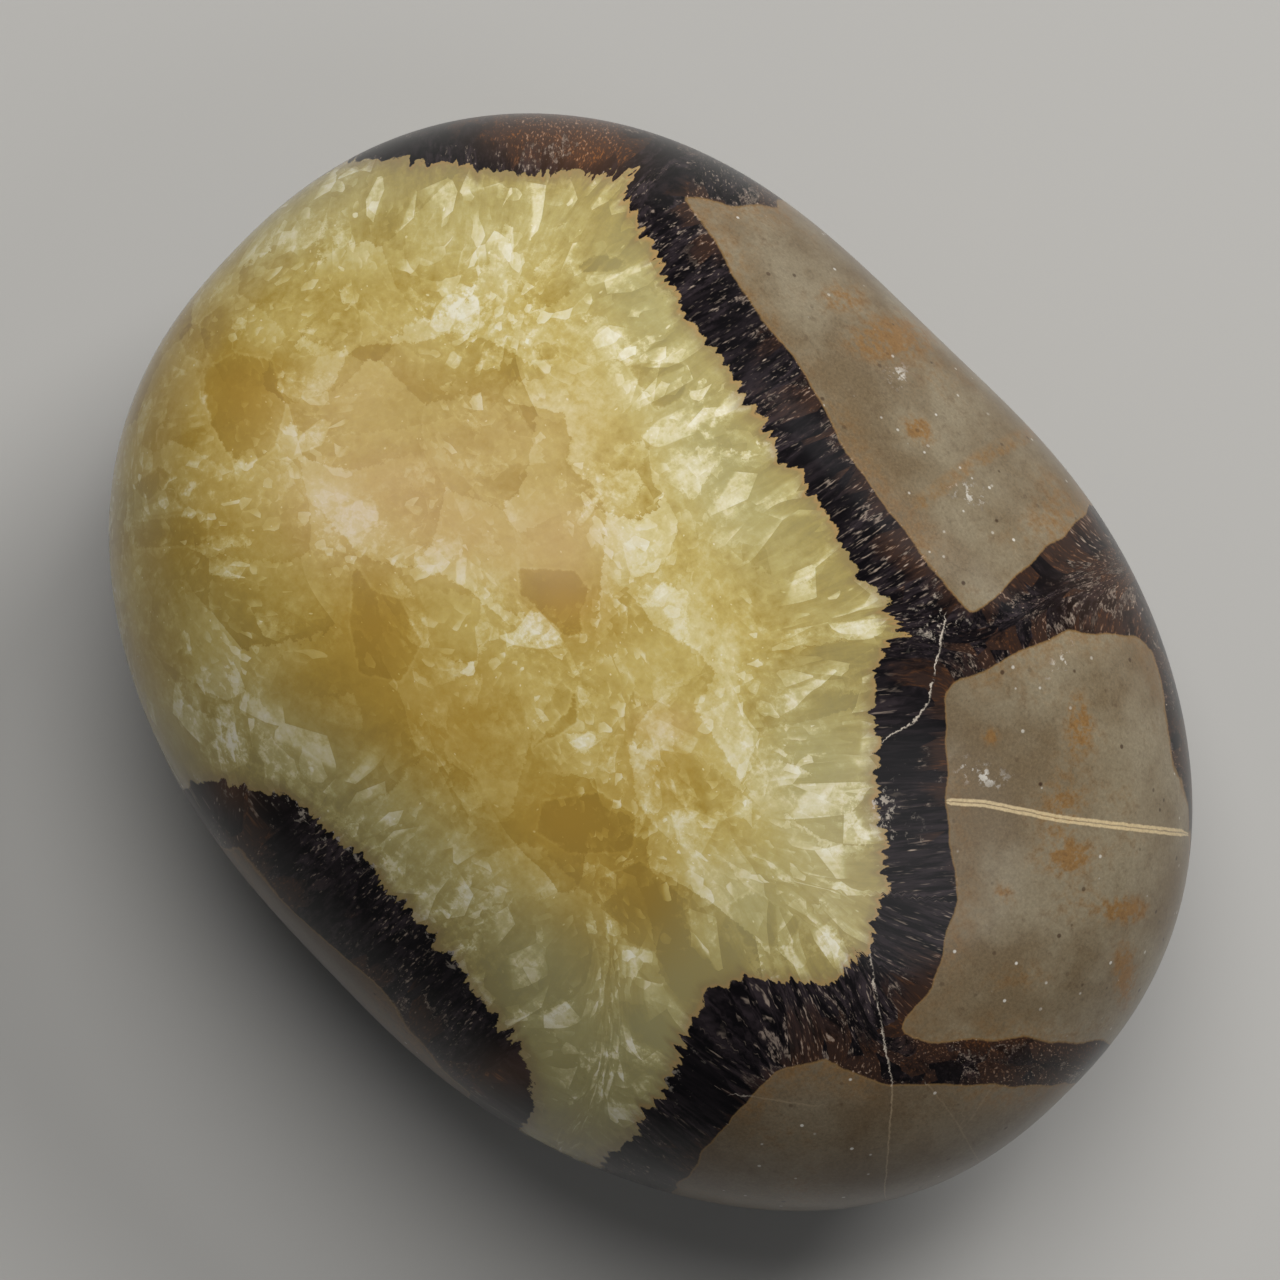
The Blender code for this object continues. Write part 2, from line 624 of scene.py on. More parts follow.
BLOCKS = (
    Block(
        "upper_right",
        (
            (-19.8, 23.3), (-12.4, 21.4), (-1.1, 19.1), (9.4, 17.2), (11.8, 17.1, 0.8),
            (12.2, 19.5), (12.4, 27.4), (14.0, 60.0), (-24.0, 60.0), (-15.1, 26.8),
        ),
        band=4.0, lean=(0.1, 0.0), floor=(-9.0, 0.12, 0.0),
    ),
    Block(
        "right",
        (
            (14.0, 12.7, 1.5), (16.2, 18.1), (17.3, 21.2, 2.0), (21.2, 24.0, 2.0), (28.9, 19.0),
            (33.6, 15.4), (37.4, 11.0), (60.0, 5.0), (37.3, 3.9), (29.4, -4.1), (27.3, -5.6, 0.8),
            (27.2, -2.0, 3.5), (24.4, 3.6), (18.9, 8.1),
        ),
        band=5.0, lean=(0.0, -0.1), floor=(-6.5, 0.0, 0.1),
    ),
    Block(
        "lower_right",
        (
            (24.6, -21.0), (24.4, -18.1), (23.5, -12.4, 2.5), (25.7, -9.5), (29.4, -7.8),
            (37.7, 0.2), (60.0, 8.0), (60.0, -50.0), (25.0, -50.0),
        ),
        # Its brown tone is partly painted shade: this lower block faces away from the light.
        band=5.2, lean=(-0.15, 0.0), floor=(-11.0, 0.05, -0.1), tone=0.45,
    ),
    Block(
        "lower_left",
        (
            (-12.0, -28.0), (-10.3, -26.7), (-4.8, -26.9), (8.1, -27.1), (10.8, -27.3),
            (11.0, -60.0), (-22.0, -60.0),
        ),
        # Its brown tone is mostly painted shade: this lower block faces away from the light.
        band=4.4, lean=(0.2, 0.2), flare=0.1, floor=(-12.0, 0.1, 0.1), tone=0.9,
    ),
    Block(
        "upper_end",
        ((-48.0, 4.0), (-40.1, 10.9), (-32.3, 18.6), (-26.4, 24.1), (-24.0, 60.0), (-70.0, 60.0)),
        lean=(0.15, -0.1), flare=0.1, floor=(-8.0, 0.1, 0.0), tone=0.3,
    ),
    Block(
        "upper_side",
        ((-25.6, 26.6), (-21.9, 29.2), (-13.6, 31.4), (-8.0, 60.0), (-24.6, 60.0)),
        band=5.5, floor=(-9.0, 0.1, 0.0), roof=(8.0, 0.0, 0.0),
    ),
    Block(
        "right_side",
        ((36.8, 15.0), (39.6, 8.0), (60.0, 7.0), (60.0, 40.0), (30.0, 40.0), (30.0, 23.0)),
        band=4.5, floor=(-12.0, 0.0, 0.0), roof=(4.0, 0.0, 0.0),
    ),
    Block(
        "under_left",
        ((-27.0, -11.0), (-12.0, -16.0), (-2.0, -9.0), (-1.0, 8.0), (-11.0, 15.0), (-25.0, 8.0)),
        band=3.6, flare=0.1, roof=(-10.5, 0.0, 0.0), tone=0.2,
    ),
    Block(
        "under_middle",
        ((9.0, -18.0), (20.0, -15.0), (22.0, 3.0), (13.0, 13.0), (8.0, 10.0), (7.0, -5.0)),
        band=3.6, flare=0.05, roof=(-10.0, 0.0, 0.0), tone=0.1,
    ),
    Block(
        "under_right",
        ((30.0, -8.0), (45.0, -6.0), (45.0, 20.0), (24.0, 20.0), (18.5, 15.5), (28.5, 4.0)),
        band=3.4, flare=0.05, roof=(-12.0, 0.0, 0.0), tone=0.3,
    ),
    Block(
        "left_end",
        (
            (-60.0, -30.0), (-60.0, 5.0), (-34.0, 3.0), (-33.0, -14.0), (-25.0, -21.0),
            (-27.0, -40.0),
        ),
        band=4.5, lean=(-0.3, 0.0), roof=(-3.0, 0.1, 0.1), tone=0.2,
    ),
    Block(
        "near_side",
        ((14.0, -22.0), (24.0, -20.0), (26.0, -60.0), (10.0, -60.0)),
        band=3.5, roof=(-11.0, 0.0, 0.0), tone=0.4,
    ),
)


@dataclass(frozen=True)
class Swell:
    """A place where the aragonite bands are wider or narrower than their block's."""

    x: float
    y: float
    reach: float
    extra: float

    def amount(self, plan: Array) -> Array:
        """Gives the extra band width at each place."""
        squared = (plan[:, 0] - self.x) ** 2 + (plan[:, 1] - self.y) ** 2
        return self.extra * np.exp(-squared / self.reach**2)


SWELLS = (
    Swell(17.5, -11.5, 5.0, 1.5),
    Swell(-1.0, -22.0, 8.0, 1.3),
    Swell(27.0, -22.0, 6.0, -0.8),
    Swell(-34.0, 10.0, 6.0, -1.0),
    Swell(16.0, 26.5, 6.0, 2.5),
)


class Tint(Enum):
    """What a soft patch of the stone leans toward."""

    AMBER = "amber"
    PEACH = "peach"
    GREEN = "green"
    PALE = "pale"
    FROST = "frost"
    RUST = "rust"


@dataclass(frozen=True)
class Patch:
    """A soft oval patch of a tint, in the plan, turned by some degrees.

    An amount below 0 takes the tint away: where pale is taken away, the calcite deepens.
    """

    x: float
    y: float
    along: float
    across: float
    turn: float
    amount: float

    def share(self, plan: Array) -> Array:
        """Gives the patch's strength.

        Args:
            plan: The places in the plan.

        Returns:
            The amount in the patch's middle, less further out, and 0 far away.
        """
        east, north = plan[:, 0] - self.x, plan[:, 1] - self.y
        cosine, sine = math.cos(math.radians(self.turn)), math.sin(math.radians(self.turn))
        forward = (east * cosine + north * sine) / self.along
        sideways = (north * cosine - east * sine) / self.across
        return self.amount * np.exp(-(forward**2) - sideways**2)


PATCHES = {
    Tint.AMBER: (
        Patch(-14.6, -10.2, 3.4, 3.0, 0, 0.75),
        Patch(-31.3, -5.9, 3.6, 2.8, 45, 0.75),
        Patch(-6.9, -11.3, 6.6, 5.0, 25, 0.6),
        Patch(-6.9, -0.7, 2.4, 1.8, 45, 0.9),
        Patch(7.2, -11.7, 5.5, 3.4, 45, 0.45),
        Patch(2.6, -10.8, 3.8, 2.8, 45, 0.7),
        Patch(4.2, -4.2, 3.4, 3.0, 135, 0.5),
        Patch(-14.5, -17.2, 7.0, 4.5, 45, 0.35),
        Patch(-28.1, -14.4, 5.0, 5.0, 0, 0.4),
        Patch(-4.5, -0.4, 3.2, 2.6, 45, 0.35),
        Patch(-34.5, -9.0, 4.0, 7.0, 45, 0.4),
        Patch(-26.8, 20.4, 3.0, 2.2, 45, 0.9),
        Patch(-30.5, 18.0, 2.5, 1.6, 45, 0.5),
        Patch(31.5, 0.0, 3.5, 2.0, 45, 0.5),
        Patch(11.9, -24.6, 2.6, 1.6, 45, 0.6),
        Patch(-13.9, -24.4, 1.8, 1.2, 0, 0.8),
        Patch(17.6, 24.0, 3.0, 3.0, 0, 0.3),
    ),
    Tint.PEACH: (
        Patch(-20.4, -3.1, 5.6, 3.0, 45, 0.75),
        Patch(-17.7, 4.1, 6.6, 3.6, 45, 0.45),
        Patch(-15.5, -2.7, 7.2, 3.2, 35, 0.7),
        Patch(-10.0, 1.8, 3.2, 3.8, 45, 0.7),
        Patch(-25.9, -1.3, 5.5, 3.2, 75, 0.5),
        Patch(-21.3, -7.7, 3.8, 3.2, 0, 0.45),
        Patch(3.0, -1.6, 2.2, 1.2, 45, 0.4),
    ),
    Tint.GREEN: (
        Patch(-5.5, 11.8, 7.0, 3.0, -15, 0.5),
        Patch(10.8, 2.7, 5.5, 3.5, -20, 0.55),
        Patch(15.3, -19.9, 6.0, 5.0, 45, 0.8),
        Patch(9.0, -17.2, 5.0, 4.0, 0, 0.7),
        Patch(14.6, -5.1, 4.2, 3.2, 45, 0.7),
        Patch(-17.3, 16.3, 5.0, 3.0, 0, 0.35),
        Patch(-22.5, -18.0, 6.0, 3.5, 0, 0.3),
        Patch(-9.0, -20.5, 9.0, 3.0, 5, 0.2),
        Patch(-31.0, -16.0, 3.0, 2.0, 45, 0.45),
    ),
    Tint.PALE: (
        Patch(-29.0, 10.9, 8.0, 5.0, 45, 0.6),
        Patch(-21.8, 13.6, 6.0, 6.0, 0, 0.55),
        Patch(-8.0, 9.0, 7.0, 4.0, -20, 0.7),
        Patch(2.0, 6.5, 7.0, 3.5, -20, 0.75),
        Patch(10.5, 0.0, 5.0, 4.0, -40, 0.4),
        Patch(13.5, -13.5, 4.5, 4.0, 0, -1.0),
        Patch(19.0, -12.0, 4.5, 4.0, 0, -0.7),
        Patch(24.0, -7.5, 3.5, 4.5, 45, -0.5),
        Patch(-8.0, -18.5, 8.0, 3.2, 0, 0.9),
        Patch(1.3, -23.0, 6.0, 3.0, 0, -0.7),
        Patch(-4.1, 17.7, 6.0, 3.0, -20, -0.7),
        Patch(-17.7, 20.5, 5.0, 3.0, 0, -0.5),
        Patch(15.0, 4.0, 5.0, 4.0, -40, -0.4),
        Patch(-20.8, -6.4, 2.6, 1.8, 45, 0.5),
        Patch(12.0, -19.0, 4.0, 3.0, 0, 0.45),
        Patch(-16.0, -22.0, 2.4, 1.6, 0, 0.6),
        Patch(-33.0, 1.0, 4.0, 4.0, 0, 0.35),
    ),
    Tint.FROST: (
        Patch(10.8, 15.4, 1.8, 1.6, 0, 0.8),
        Patch(18.1, 19.1, 0.5, 1.3, 10, 0.9),
        Patch(19.5, 10.3, 1.8, 0.7, 25, 0.9),
        Patch(-2.2, 24.6, 0.7, 0.6, 0, 1.0),
        Patch(6.3, 22.5, 1.3, 0.6, 20, 0.9),
        Patch(-9.0, -21.0, 9.0, 1.8, 5, 0.85),
        Patch(4.0, -20.8, 6.0, 1.6, 0, 0.7),
        Patch(-6.9, -3.1, 3.0, 2.0, 45, 0.8),
        Patch(-20.4, -6.8, 3.4, 2.6, 45, 0.9),
        Patch(-26.3, -4.5, 2.0, 2.0, 0, 0.6),
        Patch(-25.2, 7.5, 2.4, 2.0, 45, 0.8),
        Patch(-15.5, -22.6, 2.6, 1.8, 0, 1.0),
        Patch(-15.5, 13.6, 2.2, 2.0, 0, 0.7),
        Patch(-7.8, 14.1, 3.6, 2.0, -15, 0.8),
        Patch(-10.5, 5.0, 2.0, 2.0, 0, 0.7),
        Patch(-6.2, 5.2, 2.4, 1.6, 0, 0.6),
        Patch(16.2, 3.4, 2.4, 2.2, 45, 1.0),
        Patch(20.1, -4.4, 2.4, 1.6, 45, 0.9),
        Patch(8.5, 3.0, 6.0, 4.0, -30, 0.5),
        Patch(2.6, -18.1, 3.0, 2.0, 0, 0.8),
        Patch(16.5, -19.0, 3.5, 2.5, 45, 0.9),
        Patch(-29.5, -13.0, 4.0, 2.4, 45, 0.6),
        Patch(-23.0, 10.5, 6.0, 4.0, 45, 0.45),
        Patch(12.8, -9.0, 4.0, 2.0, -45, 0.5),
    ),
    Tint.RUST: (
        Patch(-4.4, 25.6, 2.6, 1.4, 45, 0.75),
        Patch(-8.2, 25.4, 1.6, 1.0, 45, 0.6),
        Patch(1.1, 23.2, 0.9, 0.7, 0, 0.8),
        Patch(21.7, 17.2, 0.8, 1.8, 45, 0.7),
        Patch(32.4, 10.8, 1.3, 0.7, 45, 1.0),
        Patch(35.2, 7.7, 0.6, 1.7, 45, 0.9),
        Patch(27.3, 10.7, 1.1, 0.8, 45, 0.7),
        Patch(18.3, 12.5, 0.6, 0.6, 0, 0.8),
        Patch(26.0, 5.9, 0.8, 0.6, 0, 0.6),
        Patch(24.5, 12.8, 1.6, 2.4, 45, 0.4),
        Patch(30.0, 2.0, 2.4, 1.6, 45, 0.35),
        Patch(10.5, 25.0, 2.0, 3.0, 0, 0.3),
    ),
}


@dataclass(frozen=True)
class Facet:
    """A crystal face with crisp edges: above 0 it is paler than the stone, below 0 deeper."""

    value: float
    corners: tuple[Plan, ...]


FLAKES = (
    Facet(0.8, ((-25.9, -6.4), (-26.6, -5.3), (-26.4, -3.4), (-25.8, -3.1), (-25.2, -4.6))),
    Facet(0.9, (
        (-25.8, 5.7), (-26.3, 6.9), (-26.3, 8.0), (-25.5, 8.6), (-24.6, 6.4), (-25.1, 5.7),
    )),
    Facet(0.95, ((-24.6, 6.9), (-24.2, 8.9), (-25.1, 9.2), (-25.3, 8.3))),
    Facet(0.8, ((-23.3, 4.6), (-23.6, 5.6), (-22.6, 5.7), (-22.6, 4.8))),
    Facet(0.7, ((-18.8, -3.6), (-17.7, -2.7), (-17.6, -3.6))),
    Facet(0.6, (
        (-21.4, -6.5), (-21.0, -5.5), (-20.1, -4.8), (-19.1, -5.6), (-19.8, -7.4), (-20.8, -7.3),
    )),
    Facet(0.6, ((-35.6, -7.8), (-34.4, -7.3), (-34.9, -8.5))),
    Facet(0.7, ((-33.3, -7.8), (-32.6, -7.3), (-32.3, -8.3))),
    Facet(0.6, ((-28.6, -9.3), (-27.8, -8.8), (-27.3, -10.3))),
    Facet(0.45, ((-29.6, -13.3), (-29.4, -11.9), (-28.5, -13.6))),
    Facet(0.4, ((-30.5, -16.7), (-30.6, -16.0), (-29.7, -13.7), (-28.5, -13.8))),
    Facet(0.75, (
        (-21.0, 14.8), (-19.0, 17.4), (-19.1, 18.0), (-18.6, 17.7), (-19.6, 16.0), (-20.2, 14.7),
    )),
    Facet(0.75, (
        (-16.0, 13.0), (-15.8, 13.8), (-15.3, 15.5), (-14.8, 15.3), (-14.7, 13.6), (-15.0, 12.7),
    )),
    Facet(0.7, (
        (-11.1, 10.2), (-11.1, 11.8), (-10.3, 14.0), (-9.3, 13.9), (-8.8, 12.8), (-9.9, 10.4),
    )),
    Facet(0.35, ((-11.1, 13.7), (-11.2, 16.6), (-9.7, 17.4), (-8.0, 16.6), (-8.4, 13.8))),
    Facet(1.0, (
        (-8.3, -2.3), (-7.1, -2.3), (-5.9, -2.4), (-5.3, -2.6), (-5.9, -3.8), (-7.5, -5.0),
        (-8.7, -5.4), (-8.0, -4.3), (-8.2, -3.1),
    )),
    Facet(0.7, ((-2.8, -3.9), (-1.8, -3.7), (-1.4, -5.1))),
    Facet(0.6, ((-5.5, -2.7), (-5.0, -2.6), (-3.0, -3.4), (-3.5, -3.6))),
    Facet(0.7, ((-0.6, -7.0), (-0.1, -5.4), (0.6, -5.4), (0.3, -6.7))),
    Facet(0.45, ((2.2, -2.7), (2.5, -1.7), (5.2, -0.8), (5.5, -1.9), (3.7, -3.3))),
    Facet(0.5, ((7.1, -5.4), (7.7, -4.5), (9.8, -3.6), (10.6, -6.3), (9.0, -6.5))),
    Facet(0.3, (
        (8.9, -6.7), (10.6, -6.3), (14.1, -6.8), (15.1, -9.4), (14.9, -9.9), (12.1, -7.6),
    )),
    Facet(0.45, ((10.4, -14.0), (12.8, -12.5), (15.1, -13.1), (14.5, -14.0))),
    Facet(0.9, ((16.1, 2.2), (16.1, 3.4), (17.3, 4.7), (18.4, 3.8), (18.0, 2.6), (17.0, 1.9))),
    Facet(0.6, ((19.2, -4.3), (19.4, -2.7), (20.8, -3.6), (21.4, -4.6), (20.6, -5.1))),
    Facet(0.75, (
        (-16.8, -23.5), (-16.6, -21.9), (-15.2, -21.3), (-14.1, -22.2), (-14.6, -23.7),
        (-15.7, -24.2),
    )),
    Facet(0.8, ((-13.9, -3.7), (-13.7, -3.0), (-12.3, -4.5), (-12.9, -4.8))),
    Facet(0.8, ((-3.6, 3.7), (-3.6, 4.8), (-2.8, 4.4), (-3.0, 3.4))),
    Facet(0.8, (
        (-10.2, 3.5), (-10.5, 5.0), (-10.7, 6.1), (-10.3, 5.9), (-9.9, 4.5), (-9.8, 3.3),
    )),
    Facet(0.7, ((14.2, -19.2), (15.9, -18.2), (16.7, -18.7), (15.3, -19.5))),
    Facet(0.6, ((17.7, -19.5), (17.9, -18.2), (19.0, -18.9), (18.9, -19.9))),
    Facet(0.8, ((13.2, 1.8), (13.1, 3.4), (13.4, 3.4), (13.7, 2.0))),
)

POCKETS = (
    Facet(-1.3, (
        (-21.8, 15.2), (-21.3, 16.5), (-20.3, 17.3), (-19.4, 17.5), (-19.9, 16.5), (-21.2, 15.0),
    )),
    Facet(-1.1, (
        (-14.9, 12.9), (-14.2, 13.8), (-12.5, 15.5), (-11.7, 15.4), (-11.1, 13.7), (-11.6, 12.1),
        (-13.1, 12.4),
    )),
    Facet(-0.5, ((-20.1, 9.4), (-19.9, 10.0), (-19.1, 10.6), (-18.4, 10.1), (-19.3, 8.9))),
    Facet(-0.9, (
        (-10.7, -1.3), (-8.1, 1.1), (-6.5, 0.9), (-6.0, -0.5), (-4.8, -1.4), (-5.6, -2.2),
        (-7.5, -2.2), (-8.4, -2.2), (-9.5, -2.3),
    )),
    Facet(-0.7, ((-3.0, -3.9), (-2.0, -5.4), (-2.0, -8.7), (-1.4, -6.9), (-1.1, -5.6))),
    Facet(-0.6, ((-31.9, -15.0), (-31.5, -12.9), (-30.4, -12.8), (-30.6, -15.1))),
    Facet(-0.4, ((-30.3, -16.8), (-27.3, -12.9), (-25.9, -14.3), (-28.9, -17.7))),
    Facet(-0.4, ((-36.8, -6.0), (-36.6, -5.0), (-35.2, -4.5), (-34.2, -6.1), (-35.3, -6.7))),
    Facet(-0.5, (
        (-32.4, -7.9), (-30.7, -8.8), (-29.5, -9.1), (-28.4, -9.3), (-27.6, -8.7), (-27.2, -6.8),
        (-28.8, -4.3), (-31.3, -3.1), (-33.2, -4.4), (-33.9, -6.5),
    )),
    Facet(-0.45, (
        (7.0, -11.8), (8.1, -9.0), (12.1, -8.7), (14.2, -10.6), (12.6, -12.7), (9.9, -13.6),
    )),
    Facet(-0.5, ((14.1, -7.1), (14.5, -5.3), (18.0, -4.5), (18.7, -6.1), (16.7, -8.1))),
    Facet(-0.6, (
        (1.0, -10.7), (3.1, -7.7), (5.8, -7.2), (7.2, -9.0), (4.5, -11.8), (2.0, -12.4),
    )),
    Facet(-0.6, (
        (-18.5, -8.4), (-16.3, -8.9), (-14.6, -8.1), (-11.8, -9.0), (-10.9, -11.7),
        (-13.1, -13.2), (-15.5, -11.7),
    )),
)


@dataclass(frozen=True)
class Seam:
    """A line across the stone: a crack, a vein or the crisp edge of a pale veil.

    A veil lies on the left of its line, on the way from the line's start to its end.
    """

    strength: float
    path: tuple[Plan, ...]


VEILS = (
    Seam(0.8, (
        (-27.5, -1.1), (-28.1, 0.4), (-27.9, 1.8), (-26.4, 3.3), (-25.2, 4.9), (-24.5, 6.3),
        (-23.5, 7.1), (-21.8, 7.9), (-20.3, 8.3),
    )),
    Seam(1.0, (
        (-17.5, 6.6), (-15.6, 7.8), (-14.3, 7.0), (-13.4, 5.6), (-11.6, 5.8), (-10.5, 5.9),
        (-9.0, 4.9), (-7.2, 2.9), (-6.0, 1.4),
    )),
    Seam(0.5, ((-0.4, -12.0), (-1.7, -9.8), (-2.6, -8.0), (-3.3, -5.9))),
    Seam(0.9, (
        (-3.5, 2.5), (-2.1, 2.3), (0.6, 3.0), (2.9, 2.9), (3.7, 0.4), (5.6, 0.0), (8.6, -0.7),
    )),
    Seam(0.8, ((1.7, -2.2), (1.7, -3.1), (2.6, -4.6), (4.2, -5.8), (5.2, -6.6), (6.7, -6.7))),
    Seam(0.9, (
        (-21.3, -7.7), (-19.2, -7.8), (-17.6, -7.6), (-15.9, -6.3), (-14.0, -5.0), (-11.8, -4.5),
        (-9.8, -4.3),
    )),
    Seam(0.35, ((-19.7, 4.0), (-22.3, -0.3), (-24.9, -3.5))),
    Seam(0.35, ((-19.9, -1.8), (-18.3, 0.3), (-15.3, 3.5))),
    Seam(0.6, ((-27.8, -8.7), (-28.6, -9.2), (-29.5, -9.1), (-30.6, -8.8), (-32.0, -8.1))),
    Seam(0.7, ((8.3, -12.9), (6.0, -12.9), (3.3, -12.9), (1.8, -13.6), (1.2, -15.1))),
)

CRACKS = (
    Seam(1.0, ((11.0, 15.6), (11.9, 14.3), (13.9, 11.2), (14.2, 9.8), (13.7, 7.9))),
    Seam(1.0, (
        (17.4, 3.4), (19.3, 1.3), (20.3, -0.8), (23.0, -3.1), (25.6, -5.0), (28.4, -6.9),
        (29.7, -7.8), (31.2, -9.5), (34.1, -12.9),
    )),
    Seam(0.4, ((31.4, -6.1), (34.1, -6.5), (36.6, -7.2))),
    Seam(0.4, ((34.3, -3.6), (34.8, -5.9))),
    Seam(0.5, ((23.2, -15.1), (27.1, -12.2))),
)

VEINS = (
    Seam(1.0, ((19.4, 7.7), (21.1, 9.2), (25.2, 11.9), (31.3, 16.7))),
)

STAINS = (
    Seam(1.0, ((4.5, 19.9), (5.1, 24.2), (6.3, 28.1))),
)


@dataclass(frozen=True)
class Septaria:
    """The pattern in the stone, worked out as fields over its surface."""

    eye_height: float = EYE_HEIGHT
    wall_bends: tuple[Wander, ...] = (Wander(0.25, 9.0, 3), Wander(0.1, 3.0, 5))
    drifts: tuple[Wander, ...] = (Wander(0.16, 13.0, 7), Wander(0.09, 4.5, 9))
    grain_bend: Wander = Wander(0.8, 9.0, 11)
    meeting_softness: float = 1.6
    slope_step: float = 0.05
    least_slope: float = 0.2
    crystal_stretch: float = 0.84
    crystal_reach: float = 10.0
    crown_reach: float = 3.0
    far_away: float = 9.0
    fibre_rise: float = 0.3

    def seen_plan(self, points: Array) -> Array:
        """Moves points sideways to where the eye above sees them in the widest plane."""
        spread = self.eye_height / (self.eye_height - points[:, 2])
        return np.column_stack([points[:, 0] * spread, points[:, 1] * spread, points[:, 2]])

    def wall_distances(self, points: Array) -> Array:
        """Gives every point's distance from every block's wall."""
        return np.array([block.distance(points) for block in BLOCKS])

    def _blended(self, points: Array) -> Array:
        """Measures the distance from the nearest walls, blended where bands meet.

        Args:
            points: The points.

        Returns:
            The blended distance of each.
        """
        distances = self.wall_distances(points)
        nearest = distances.min(0)
        total = np.exp(-(distances - nearest) / self.meeting_softness).sum(0)
        return nearest - self.meeting_softness * np.log(total)

    def fields(self, points: Array) -> dict[str, Array]:
        """Works out every field that the materials read.

        Args:
            points: The surface's points, with heights from the widest line.

        Returns:
            Each field by name: a number or three at each point.
        """
        seen = self.seen_plan(points)
        bent, drift = seen, 0.5
        for bend in self.wall_bends:
            bent = bent + bend.push(seen)
        for wander in self.drifts:
            drift = drift + wander.push(seen)
        distances = self.wall_distances(bent)
        nearest = distances.argmin(0)
        plan = seen[:, :2]
        band = np.array([block.band for block in BLOCKS])[nearest]
        for swell in SWELLS:
            band = band + swell.amount(plan)
        made = {
            "depth": distances.min(0),
            "band": band,
            "tone": np.array([block.tone for block in BLOCKS])[nearest],
            "drift": drift,
        }
        made.update(self._directions(seen, band))
        made.update(self._features(plan, points[:, 2]))
        return made

    def _directions(self, seen: Array, band: Array) -> dict[str, Array]:
        """Works out where each fibre starts and how the crystals are drawn out.

        Args:
            seen: The surface's points, as seen in the widest plane.
            band: The width of the aragonite band at each point.

        Returns:
            The root of the fibre at each point, and a place that changes slowly along
            the crystals that grow out of the band.
        """
        depth = self._blended(seen)
        slope = np.empty_like(seen)
        for axis in range(3):
            step = np.zeros(3)
            step[axis] = self.slope_step
            slope[:, axis] = (self._blended(seen + step) - depth) / self.slope_step
        slope /= np.maximum(np.linalg.norm(slope, axis=1, keepdims=True), self.least_slope)
        beyond = np.maximum(depth - band, 0)
        drawn = self.crystal_stretch * beyond * np.exp(-((beyond / self.crystal_reach) ** 2))
        grain = seen - drawn[:, None] * slope
        root = seen - np.maximum(depth, 0)[:, None] * slope
        root[:, 2] *= self.fibre_rise
        return {"root": root, "grain": grain + self.grain_bend.push(grain)}

    def _features(self, plan: Array, height: Array) -> dict[str, Array]:
        """Works out the tints, facets and lines that the crown shows.

        Args:
            plan: The surface's points in the plan.
            height: Their heights from the widest line.

        Returns:
            Each field by name.
        """
        crown = np.clip((height + self.crown_reach) / self.crown_reach, 0, 1)
        away = (1 - crown) * self.far_away
        tints = {}
        for tint, patches in PATCHES.items():
            clear = np.ones(len(plan))
            for patch in patches:
                clear *= 1 - patch.share(plan)
            tints[tint] = (1 - clear) * crown
        return {
            "hues": np.stack([tints[Tint.AMBER], tints[Tint.PEACH], tints[Tint.GREEN]], 1),
            "marks": np.stack([tints[Tint.PALE], tints[Tint.FROST], tints[Tint.RUST]], 1),
            "flakes": self._facet_field(plan, FLAKES, away),
            "pockets": self._facet_field(plan, POCKETS, away),
            "veils": self._seam_field(plan, VEILS, away),
            "cracks": self._seam_field(plan, CRACKS, away),
            "veins": self._seam_field(plan, VEINS, away),
            "stains": self._seam_field(plan, STAINS, away),
        }

    def _facet_field(self, plan: Array, facets: Sequence[Facet], away: Array) -> Array:
        """Measures the plan against the nearest of some facets.

        Args:
            plan: The points in the plan.
            facets: The facets.
            away: What is added to the distance, to end the facets below the crown.

        Returns:
            The distance from the nearest facet, below 0 inside it, and its value.
        """
        distances = np.array([polygon_distance(plan, np.array(f.corners)) for f in facets])
        nearest = distances.argmin(0)
        values = np.array([facet.value for facet in facets])[nearest]
        return np.stack([distances.min(0) + away, values, np.zeros(len(plan))], 1)

    def _seam_field(self, plan: Array, seams: Sequence[Seam], away: Array) -> Array:
        """Measures the plan against the nearest of some lines.

        Args:
            plan: The points in the plan.
            seams: The lines.
            away: What is added to the distance, to end the lines below the crown.

        Returns:
            The distance to the left of the line, below 0 on its right, the distance
            without a side, and the line's strength.
        """
        nearest = np.full(len(plan), np.inf)
        offset = np.zeros(len(plan))
        strength = np.zeros(len(plan))
        for seam in seams:
            path = np.array(seam.path)
            for start, end in zip(path, path[1:]):
                gap, side = segment_gaps(plan, start, end)
                closer = gap < nearest
                nearest = np.where(closer, gap, nearest)
                offset = np.where(closer, np.copysign(gap, side), offset)
                strength = np.where(closer, seam.strength, strength)
        return np.stack([offset, nearest + away, strength], 1)


